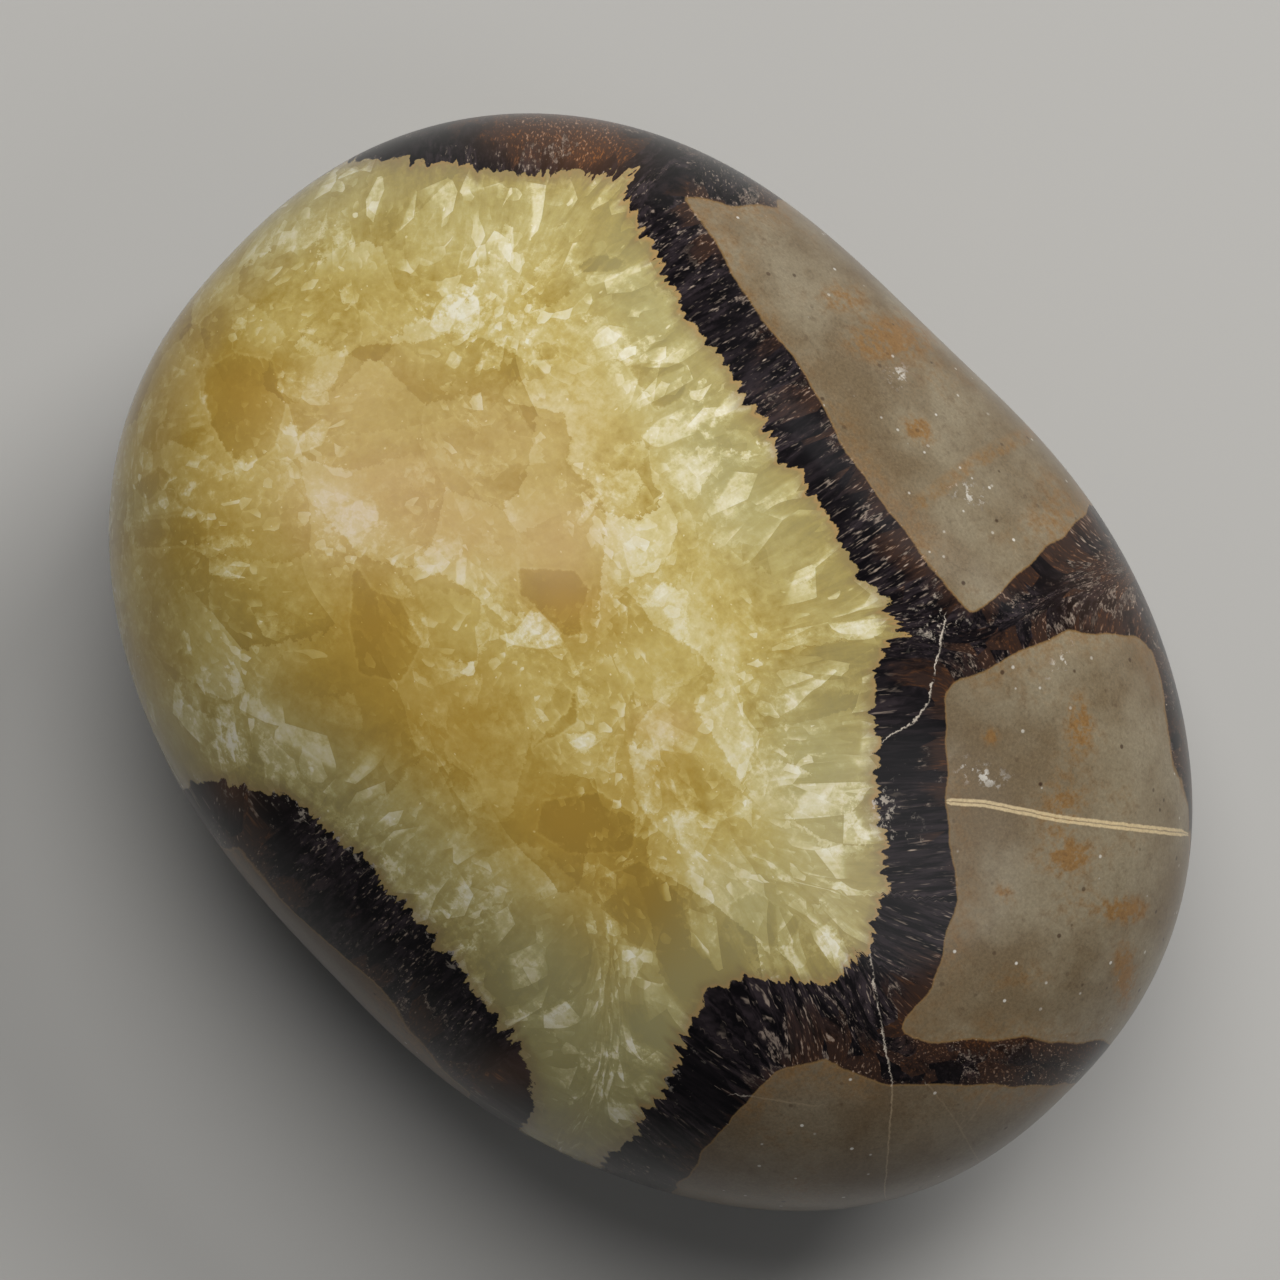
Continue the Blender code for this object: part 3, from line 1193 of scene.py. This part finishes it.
@dataclass(frozen=True)
class Surface:
    """What the finishes read at each place on the stone."""

    graph: Graph
    place: Signal
    root: Signal
    grain: Signal
    depth: Signal
    band: Signal
    tone: Signal
    amber: Signal
    peach: Signal
    green: Signal
    pale: Signal
    frost: Signal
    rust: Signal
    fine: Signal
    drift: tuple[Signal, Signal, Signal]

    @classmethod
    def of(cls, graph: Graph) -> "Surface":
        """Reads the stone's fields into a graph."""
        place = graph.scaled(graph.node("ShaderNodeTexCoord", {}, {}, "Object"), 1 / MM)
        amber, peach, green = graph.parts(graph.field("hues"))
        pale, frost, rust = graph.parts(graph.field("marks"))
        return cls(
            graph=graph,
            place=place,
            root=graph.field("root"),
            grain=graph.field("grain"),
            depth=graph.field("depth", "Fac"),
            band=graph.field("band", "Fac"),
            tone=graph.field("tone", "Fac"),
            amber=amber,
            peach=peach,
            green=green,
            pale=pale,
            frost=frost,
            rust=rust,
            fine=graph.noise(place, 1.6, 5, 0.72),
            drift=graph.parts(graph.field("drift")),
        )

    def along_fibres(self, share: float) -> Signal:
        """Gives a place that changes only by a share of the way along a fibre."""
        return self.graph.between(share, self.root, self.place)

    def line(self, name: str, half_width: float, ragged: float, gap: float = 0.0) -> Signal:
        """Gives the share of a thin line from one of the line fields.

        Args:
            name: The field's name.
            half_width: Half of the line's width in millimetres.
            ragged: How far the line strays from its path.
            gap: Half of the space between the two strands of a double line.

        Returns:
            A value near 1 on the line and 0 off it, times the line's strength.
        """
        graph = self.graph
        offset, reach, strength = graph.parts(graph.field(name))
        across = (offset + (self.fine - 0.5) * (ragged / NOISE_SWING)).size()
        if gap:
            across = (across - gap).size()
        beside_path = reach.fall(0.55, 0.9)
        return across.fall(half_width * 0.5, half_width * 1.5) * beside_path * strength

    def specks(
        self, spacing: float, width: float, dark: float, light: float
    ) -> tuple[Signal, Signal]:
        """Gives the shares of small round dark and light specks.

        Args:
            spacing: The mean distance between the places where a speck may be.
            width: The half width of a dark speck. A light one is a quarter smaller.
            dark: The share of those places with a dark speck.
            light: The share of those places with a light speck.

        Returns:
            A value of 1 on a dark speck and 0 off it, and the same for the light ones.
        """
        dots = self.graph.cells(self.place, 1 / spacing)
        chosen, size, _ = self.graph.parts(dots.out("Color"))
        gap = dots * spacing
        strength = size * 0.7 + 0.3
        holes = gap.fall(width * 0.5, width) * chosen.rise(1 - dark, 1.02 - dark)
        flecks = gap.fall(width * 0.375, width * 0.75) * chosen.fall(light - 0.02, light)
        return holes * strength, flecks * strength


@dataclass(frozen=True)
class Gloss:
    """How one mineral takes a polish.

    The depth is the share of light that wanders about inside the mineral.
    """

    roughness: float
    specular: float
    polish: float
    depth: float = 0.0
    depth_reach: tuple[float, float, float] = (3.0, 2.2, 0.9)
    polish_roughness: float = 0.12

    def shader(self, graph: Graph, colour: Signal) -> Signal:
        """Builds the surface shader of the polished mineral.

        Args:
            graph: The material's graph.
            colour: The mineral's colour.

        Returns:
            The shader.
        """
        inputs = {
            "Base Color": colour,
            "Roughness": self.roughness,
            "Specular IOR Level": self.specular,
            "Subsurface Weight": self.depth,
            "Subsurface Radius": self.depth_reach,
            "Subsurface Scale": MM,
            "Coat Weight": self.polish,
            "Coat Roughness": self.polish_roughness,
        }
        return graph.node("ShaderNodeBsdfPrincipled", {}, inputs)


@dataclass(frozen=True)
class LimestoneFinish:
    """Smooth, dense grey-tan limestone with rust blooms, pinholes and pale flecks; browner on some
    blocks, partly as painted shade.
    """

    light: Colour = paint(125, 114, 93)
    dark: Colour = paint(103, 88, 66)
    brown: Colour = paint(72, 55, 40)
    rust: Colour = paint(124, 90, 48)
    vein: Colour = paint(194, 173, 134)
    thread: Colour = paint(150, 132, 106)
    pinhole: Colour = paint(54, 36, 24)
    fleck: Colour = paint(206, 202, 192)
    gloss: Gloss = Gloss(roughness=0.34, specular=0.18, polish=0.24)

    def colour(self, on: Surface) -> Signal:
        """Builds the colour of the blocks.

        Args:
            on: What is read at each place.

        Returns:
            The colour.
        """
        graph = on.graph
        slow, slower, _ = on.drift
        cloud = graph.noise(on.place, scale=0.13, detail=4, rough=0.65)
        mottle = on.fine.rise(0.32, 0.66)
        bloom = on.rust * 1.3 + (slow * 0.8 + cloud * 0.8 - 0.72)
        bloom = (bloom * (mottle * 1.2 + 0.15)).rise(0.06, 0.9)
        edge = (on.depth * -1).fall(0.0, 2.4) * mottle * slower.rise(0.35, 0.6)
        stain = on.line("stains", half_width=0.5, ragged=0.35) * mottle
        vein = on.line("veins", half_width=0.1, ragged=0.05, gap=0.13)
        thread = on.line("cracks", half_width=0.05, ragged=0.08)
        pinholes, flecks = on.specks(spacing=1.1, width=0.2, dark=0.3, light=0.3)
        scuff = (on.fine + on.frost * 0.1).rise(0.58, 0.66) * on.frost
        base = graph.layered(
            graph.mix(cloud.rise(0.34, 0.64), self.dark, self.light),
            # Browner blocks: partly their own brown, partly painted shade on the lower blocks.
            (on.tone * 0.85, self.brown),
            (bloom * 0.85, self.rust),
            (on.fine.rise(0.5, 0.72) * 0.35, self.brown),
            (edge * 0.5, self.rust),
            (stain * 0.6, self.rust),
            (vein * 0.85, self.vein),
            (thread * 0.55, self.thread),
            (pinholes * 0.9, self.pinhole),
            (flecks * 0.8, self.fleck),
            (scuff * 0.75, self.fleck),
        )
        return graph.scaled(base, graph.noise(on.place, scale=5.0, detail=3, rough=0.78) + 0.49)


@dataclass(frozen=True)
class AragoniteFinish:
    """Dark fibrous aragonite: black bundles of fibres, brown toward the wall, with pale strands and
    painted glints.
    """

    black: Colour = paint(10, 8, 10)
    smoke: Colour = paint(52, 44, 47)
    brown: Colour = paint(49, 34, 27)
    amber: Colour = paint(124, 76, 36)
    # Pale silvery colour of the fibre strands, also used for the painted glints.
    silver_and_glint: Colour = paint(170, 152, 136)
    crack: Colour = paint(196, 184, 168)
    gloss: Gloss = Gloss(roughness=0.3, specular=0.12, polish=0.17)

    def colour(self, on: Surface) -> Signal:
        """Builds the colour of the bands.

        Args:
            on: What is read at each place.

        Returns:
            The colour.
        """
        graph = on.graph
        slow, patchy, _ = on.drift
        along = on.depth / on.band
        fibre = on.along_fibres(0.07)
        bundle = graph.cells(on.along_fibres(0.1), 0.8)
        first, second, third = graph.parts(bundle.out("Color"))
        streak = graph.noise(fibre, scale=2.2, detail=4, rough=0.72)
        hair = graph.noise(fibre, scale=6.5, detail=2, rough=0.6)
        brownness = 0.55 - along * 1.15 + (first - 0.5) * 0.8 + (slow - 0.5) * 1.1
        brownness = brownness + on.amber * 0.9 + (streak - 0.5) * 1.1
        crest = (brownness - 0.3).size().fall(0.0, 0.08) * third.rise(0.3, 0.8)
        brownness = brownness.rise(0.15, 0.7)
        smoke = streak.rise(0.4, 0.68) * (second * 0.85 + 0.15)
        warm = brownness * hair.rise(0.5, 0.72) * (on.amber * 1.3 + 0.28)
        strands = hair.rise(0.58, 0.74) * (patchy + second * 0.4).rise(0.5, 0.9)
        shown = (on.fine + patchy * 0.5).rise(0.7, 0.85)
        # Painted glints: short pale dashes along the fibres stand in for light caught by the
        # polished fibres.
        sliver = graph.cells(on.along_fibres(0.14), 2.3)
        chosen, bright, _ = graph.parts(sliver.out("Color"))
        painted_glint = sliver.fall(0.04, 0.15) * (chosen + patchy * 0.5).rise(1.06, 1.1)
        lace = (on.fine + on.frost * 0.12).rise(0.62, 0.68) * on.frost
        crack = on.line("cracks", half_width=0.05, ragged=0.2) * on.fine.rise(0.36, 0.56)
        return graph.layered(
            graph.mix(smoke, self.black, self.smoke),
            (brownness * 0.85, self.brown),
            ((warm + on.amber * 0.25).clamped(), self.amber),
            (strands * 0.6, self.silver_and_glint),
            (crest * shown * 0.45, self.silver_and_glint),
            (painted_glint * (bright * 0.7 + 0.3), self.silver_and_glint),
            (lace * 0.8, self.crack),
            (crack * 0.8, self.crack),
        )


@dataclass(frozen=True)
class CalciteFinish:
    """Translucent yellow calcite: crystal on crystal, each crystal painted lighter on one side and
    darker on the other, with pale veils and flakes.
    """

    deep: Colour = paint(132, 108, 46)
    gold: Colour = paint(157, 132, 60)
    yellow: Colour = paint(182, 163, 97)
    cream: Colour = paint(199, 187, 139)
    white: Colour = paint(214, 209, 188)
    amber: Colour = paint(168, 131, 52)
    peach: Colour = paint(194, 162, 120)
    green: Colour = paint(150, 147, 108)
    rim: Colour = paint(160, 128, 82)
    feather: Colour = paint(122, 104, 74)
    gloss: Gloss = Gloss(roughness=0.22, specular=0.22, polish=0.3, depth=0.3)
    chip_scale: float = 1.3
    split_push: tuple[float, float, float] = (1.0, -0.7, 0.5)
    paleness_knee: float = 0.8

    def _shade_painted_crystals(self, place: Signal, scale: float) -> Signal:
        """Builds cells that are each shaded from one side to the other.

        Args:
            place: Where the cells are looked up.
            scale: The number of cells to the millimetre.

        Returns:
            A value from about -1 to 1.
        """
        return self._shaded(place, place.graph.cells(place, scale), scale)

    def _shaded(self, place: Signal, cell: Signal, scale: float) -> Signal:
        """Shades each cell of a pattern, from one of its sides to the other.

        Args:
            place: Where the cells were looked up.
            cell: The pattern of cells.
            scale: The number of cells to the millimetre.

        Returns:
            A value from about -1 to 1.
        """
        graph = place.graph
        lean = graph.vector("SUBTRACT", cell.out("Color"), MIDDLE)
        offset = graph.vector("SUBTRACT", place, cell.out("Position"))
        first, _, _ = graph.parts(cell.out("Color"))
        return graph.vector("DOT_PRODUCT", lean, offset) * (2.6 * scale) + (first - 0.5) * 0.8

    def value(self, on: Surface) -> Signal:
        """Builds how pale the calcite is, painted shade across its crystals included.

        Args:
            on: What is read at each place.

        Returns:
            A value from 0, deep and clear, to 1, white.
        """
        graph = on.graph
        slow, slower, _ = on.drift
        shaken = graph.stirred(on.grain, scale=1.1, reach=0.2)
        chips = graph.cells(shaken, self.chip_scale)
        cloud = graph.noise(on.place, scale=0.8, detail=4, rough=0.7) - 0.5
        beyond = on.depth - on.band
        near = beyond.fall(1.5, 9.0)
        glassy = (on.amber * 0.7 + on.peach * 0.9 + on.pale * 0.4).clamped()
        busy = (1 - glassy * 0.6) * (slower.rise(0.3, 0.6) * 0.6 + 0.4)
        value = 0.36 + on.pale * 0.2 - on.amber * 0.14 + on.peach * 0.12 + near * 0.1
        value = value + (slow - 0.5) * 0.36 - beyond.fall(0.6, 5.5) * 0.27
        # Painted shade: each crystal, big and small, is lighter on one side and darker on the
        # other, as if its face caught the light.
        push = graph.scaled(self.split_push, (on.fine - 0.5) * 1.8)
        split = graph.vector("ADD", on.grain, push)
        value = value + self._shade_painted_crystals(split, scale=0.15) * 0.15
        shaded_fringe = self._shade_painted_crystals(split, scale=0.4).rise(0.0, 1.0) * (on.fine * 1.4 - 0.1)
        shaded_shards = self._shaded(shaken, chips, self.chip_scale).rise(0.1, 1.1)
        value = value + shaded_fringe * busy * 0.5 + shaded_shards * busy * 0.26
        value = value + cloud * (0.22 + on.pale * 0.4) + (on.fine - 0.5) * 0.26
        streak = graph.noise(on.along_fibres(0.08), scale=1.3, detail=4, rough=0.7) - 0.5
        value = value + streak * near * 0.8 + self._blades(on) * beyond.fall(3.0, 7.5)
        value = self._with_chips(on, chips, self._with_features(on, cloud, value))
        too_pale = (value - self.paleness_knee).most(0.0)
        return value.least(self.paleness_knee) + too_pale * 0.4

    def _blades(self, on: Surface) -> Signal:
        """Builds the bladed crystals that stand on the bands, each painted lighter toward one side,
        with a paler streak inside that painted shade.

        Args:
            on: What is read at each place.

        Returns:
            How much paler each place is for them.
        """
        # Painted shade across each blade, and a pale streak where the shade crosses a set level.
        blade = self._shade_painted_crystals(on.along_fibres(0.4), scale=0.55)
        edge = (blade - 0.25).rise(0.0, 0.12) * blade.fall(0.25, 1.1)
        return edge * 0.24 + blade.rise(-0.1, 0.8) * (on.fine + 0.4) * 0.4

    def _with_features(self, on: Surface, cloud: Signal, value: Signal) -> Signal:
        """Adds the pockets, veils and flakes that lie at places of their own.

        Args:
            on: What is read at each place.
            cloud: A soft mottle, about 0 on the whole.
            value: How pale the calcite is without them.

        Returns:
            How pale it is with them.
        """
        graph = on.graph
        ragged = on.fine - 0.5
        shading = cloud + 0.5
        gap, depth, _ = graph.parts(graph.field("pockets"))
        inside = (gap + ragged * 0.6).fall(-0.1, 0.1) * (0.3 + shading * 0.5)
        inside = inside + gap.fall(-1.8, 0.3) * 0.45
        value = value + inside * depth * 0.4
        value = value + (gap + ragged * 0.6 - 0.08).size().fall(0.02, 0.14) * 0.08
        offset, reach, strength = graph.parts(graph.field("veils"))
        crisp = (offset + ragged * 1.1).rise(-0.05, 0.05)
        veil = crisp * reach.fall(0.1, 4.2) * strength
        value = value + veil * (0.05 + shading * 0.38)
        gap, height, _ = graph.parts(graph.field("flakes"))
        inside = (gap + ragged * 0.4).fall(-0.05, 0.05)
        return value + inside * height * (0.16 + ragged * 0.5 + shading * 0.36)

    def _with_chips(self, on: Surface, chips: Signal, value: Signal) -> Signal:
        """Adds small frosted chips of many shapes where the calcite is fractured.

        Args:
            on: What is read at each place.
            chips: The pattern of cells, of which some are chips.
            value: How pale the calcite is without them.

        Returns:
            How pale it is with them.
        """
        _, slower, _ = on.drift
        chosen, brightness, dotted = on.graph.parts(chips.out("Color"))
        likely = on.frost * 0.36 + slower.rise(0.5, 0.8) * 0.12
        value = value + (chosen + likely).rise(0.98, 1.0) * (brightness * 0.26 + 0.04)
        value = value + (on.fine + on.frost * 0.12).rise(0.58, 0.68) * on.frost * 0.26
        return value + chips.fall(0.06, 0.12) * dotted.rise(0.6, 0.62) * 0.4

    def colour(self, on: Surface) -> Signal:
        """Builds the colour of the calcite.

        Args:
            on: What is read at each place.

        Returns:
            The colour.
        """
        graph = on.graph
        value = self.value(on)
        shades = (self.deep, self.gold, self.yellow, self.cream, self.white)
        stops = [(step / (len(shades) - 1), shade) for step, shade in enumerate(shades)]
        clear = value.fall(0.5, 1.0)
        near = (on.depth - on.band).fall(1.0, 9.0)
        return graph.layered(
            graph.node("ShaderNodeValToRGB", {"stops": stops}, {"Fac": value}),
            (on.amber * (clear * 0.7 + 0.3) * 0.6, self.amber),
            (on.peach * 0.62, self.peach),
            ((on.green * 0.8 + near * 0.6).clamped() * clear * 0.72, self.green),
        )


@dataclass
class PolishedStone:
    """The stone: its fine skin and the material that shows what it is made of."""

    form: StoneForm = StoneForm()
    pattern: Septaria = Septaria()
    limestone: LimestoneFinish = LimestoneFinish()
    aragonite: AragoniteFinish = AragoniteFinish()
    calcite: CalciteFinish = CalciteFinish()
    grid_cells: int = 128
    wall_raggedness: float = 0.3
    wall_softness: float = 0.05
    tip_softness: float = 0.04

    def build(self) -> bpy.types.Object:
        """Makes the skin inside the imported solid's box and dresses it.

        Returns:
            The stone.
        """
        directions, faces = ball_grid(self.grid_cells)
        points = self.form.grind(directions)
        mesh = bpy.data.meshes.new("septarian_stone")
        mesh.from_pydata(self._fitted(points), [], faces.tolist())
        for name, values in self.pattern.fields(points).items():
            kind = "FLOAT" if values.ndim == 1 else "FLOAT_VECTOR"
            slot = "value" if values.ndim == 1 else "vector"
            store = mesh.attributes.new(name, kind, "POINT")
            store.data.foreach_set(slot, values.astype(np.float32).ravel())
        mesh.shade_smooth()
        mesh.materials.append(self.material())
        stone = bpy.data.objects.new("septarian_stone", mesh)
        bpy.context.scene.collection.objects.link(stone)
        return stone

    def _fitted(self, points: Array) -> Array:
        """Lays the skin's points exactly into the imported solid's box.

        Args:
            points: The points in millimetres.

        Returns:
            The points in metres, in the row frame.
        """
        low, high = (np.array(corner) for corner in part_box(NODE_NAME))
        lowest, highest = points.min(0), points.max(0)
        return low + (points - lowest) / (highest - lowest) * (high - low)

    def material(self) -> bpy.types.Material:
        """Builds the one material of the polished stone.

        Returns:
            The material, with its shader in place.
        """
        material = bpy.data.materials.new("polished_septarian_stone")
        material.use_nodes = True
        material.node_tree.nodes.clear()
        graph = Graph(material.node_tree)
        on = Surface.of(graph)
        wall = on.depth + (on.fine - 0.5) * self.wall_raggedness
        tips = self._tips(on)

        dark = self.aragonite.colour(on)
        dark = graph.mix(wall.size().fall(0.04, 0.16) * 0.45, dark, self.calcite.rim)
        bright = self._with_rim(on, tips, self.calcite.colour(on))
        blocks = self.limestone.gloss.shader(graph, self.limestone.colour(on))
        bands = self.aragonite.gloss.shader(graph, dark)
        crystals = self.calcite.gloss.shader(graph, bright)
        outside = wall.rise(-self.wall_softness, self.wall_softness)
        past_tips = (on.depth - tips).rise(-self.tip_softness, self.tip_softness)
        graph.finish(graph.shared(past_tips, graph.shared(outside, blocks, bands), crystals))
        return material

    def _tips(self, on: Surface) -> Signal:
        """Builds the depth at which the aragonite's crystal tips end.

        Args:
            on: What is read at each place.

        Returns:
            The depth outside the wall, in millimetres.
        """
        graph = on.graph
        uneven = (graph.noise(on.root, scale=0.42, detail=3, rough=0.62) - 0.5) * 2.2
        tooth = (graph.cells(on.root, 1.45, "DISTANCE_TO_EDGE") - 0.14) * 1.9
        frayed = (on.fine - 0.5) * 1.1
        return on.band - 0.25 + uneven + tooth * (on.drift[2] * 1.2 + 0.15) + frayed

    def _with_rim(self, on: Surface, tips: Signal, base: Signal) -> Signal:
        """Adds the golden rim and the tan feathering outside the aragonite's tips.

        Args:
            on: What is read at each place.
            tips: The depth of the tips.
            base: The calcite's colour.

        Returns:
            The colour with its rim.
        """
        beyond = on.depth - tips
        ragged = (on.fine - 0.5) * 1.6
        golden = (1 - on.tone * 0.8) * (on.drift[2].rise(0.3, 0.6) * 0.8 + 0.2)
        feather = (beyond + ragged).fall(0.1, 1.2)
        rim = (beyond + ragged * 0.6).fall(0.06, 0.42)
        return on.graph.layered(
            base,
            (feather * 0.58, self.calcite.feather),
            (rim * golden * 0.7, self.calcite.rim),
        )


@dataclass(frozen=True)
class Softbox:
    """One soft studio light, aimed at the stone."""

    name: str
    place: tuple[float, float, float]
    size: float
    watts: float
    mirrored: bool = True

    def build(self, aim: Vector) -> bpy.types.Object:
        """Hangs the light where it belongs.

        Args:
            aim: The point that the light faces.

        Returns:
            The light.
        """
        data = bpy.data.lights.new(self.name, "AREA")
        data.shape = "DISK"
        data.size = self.size
        data.energy = self.watts
        light = bpy.data.objects.new(self.name, data)
        light.location = self.place
        light.rotation_euler = (aim - Vector(self.place)).to_track_quat("-Z", "Y").to_euler()
        light.visible_glossy = self.mirrored
        bpy.context.scene.collection.objects.link(light)
        return light


@dataclass
class Studio:
    """The floor, the lights and the camera straight above."""

    camera_x: float = -1.88 * MM
    camera_y: float = 0.93 * MM
    camera_height: float = (EYE_HEIGHT + WIDEST_LINE_HEIGHT) * MM
    camera_turn: float = math.radians(45)
    lens: float = 184.5
    aim_height: float = 20 * MM
    floor_size: float = 3.0
    floor_drop: float = 0.02 * MM
    floor_roughness: float = 0.8
    floor_colour: Colour = paint(176, 174, 170)
    world_colour: Colour = (0.75, 0.78, 0.82)
    world_strength: float = 0.09

    def build(self) -> None:
        """Sets up everything round the stone."""
        self._floor()
        self._world()
        self._camera()
        aim = Vector((0, 0, self.aim_height))
        for box in self.lights():
            box.build(aim)
            log.info("%s: %.1f W", box.name, box.watts)
        bpy.context.scene.view_settings.view_transform = "Standard"

    def lights(self) -> tuple[Softbox, ...]:
        """Lists the soft lights, with places in the picture's own directions.

        Returns:
            Two lights that fill the stone evenly, and two that show in its polish.
        """
        key, overhead = self._above(0.45, 0.5, 0.55), self._above(0.0, 0.38, 0.8)
        window, sheen = self._above(0.62, 0.5, 0.36), self._above(0.34, -0.18, 0.55)
        return (
            Softbox("key_light", key, size=0.4, watts=5.0, mirrored=False),
            Softbox("overhead_light", overhead, size=0.5, watts=4.8, mirrored=False),
            Softbox("window_light", window, size=0.3, watts=0.3),
            Softbox("sheen_light", sheen, size=0.24, watts=0.26),
        )

    def _above(self, right: float, up: float, height: float) -> tuple[float, float, float]:
        """Turns a place to the picture's right and top into the row frame's."""
        cosine, sine = math.cos(self.camera_turn), math.sin(self.camera_turn)
        return (right * cosine - up * sine, right * sine + up * cosine, height)

    def _floor(self) -> None:
        """Lays the plain pale floor."""
        mesh = bpy.data.meshes.new("pale_floor")
        half = self.floor_size / 2
        corners = [(-half, -half, 0), (half, -half, 0), (half, half, 0), (-half, half, 0)]
        mesh.from_pydata(corners, [], [(0, 1, 2, 3)])
        material = bpy.data.materials.new("pale_floor")
        material.use_nodes = True
        shader = material.node_tree.nodes["Principled BSDF"]
        shader.inputs["Base Color"].default_value = (*self.floor_colour, 1.0)
        shader.inputs["Roughness"].default_value = self.floor_roughness
        mesh.materials.append(material)
        floor = bpy.data.objects.new("pale_floor", mesh)
        floor.location.z = -self.floor_drop
        bpy.context.scene.collection.objects.link(floor)

    def _world(self) -> None:
        """Fills the room with a dim, even light."""
        world = bpy.data.worlds.new("studio_room")
        world.use_nodes = True
        background = world.node_tree.nodes["Background"]
        background.inputs["Color"].default_value = (*self.world_colour, 1.0)
        background.inputs["Strength"].default_value = self.world_strength
        bpy.context.scene.world = world

    def _camera(self) -> None:
        """Hangs the camera straight above, turned as in the photograph."""
        data = bpy.data.cameras.new("camera")
        data.lens = self.lens
        camera = bpy.data.objects.new("camera", data)
        camera.location = (self.camera_x, self.camera_y, self.camera_height)
        camera.rotation_euler = (0.0, 0.0, self.camera_turn)
        bpy.context.scene.collection.objects.link(camera)
        bpy.context.scene.camera = camera


def main() -> None:
    """Builds the stone and the studio."""
    logging.basicConfig(level=logging.INFO, format="%(message)s")
    stone = PolishedStone().build()
    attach(stone, "root")
    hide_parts(NODE_NAME)
    log.info("%s: %d faces", stone.name, len(stone.data.polygons))
    log.info("limestone blocks: %s", ", ".join(block.name for block in BLOCKS))
    Studio().build()


if __name__ == "__main__":
    main()
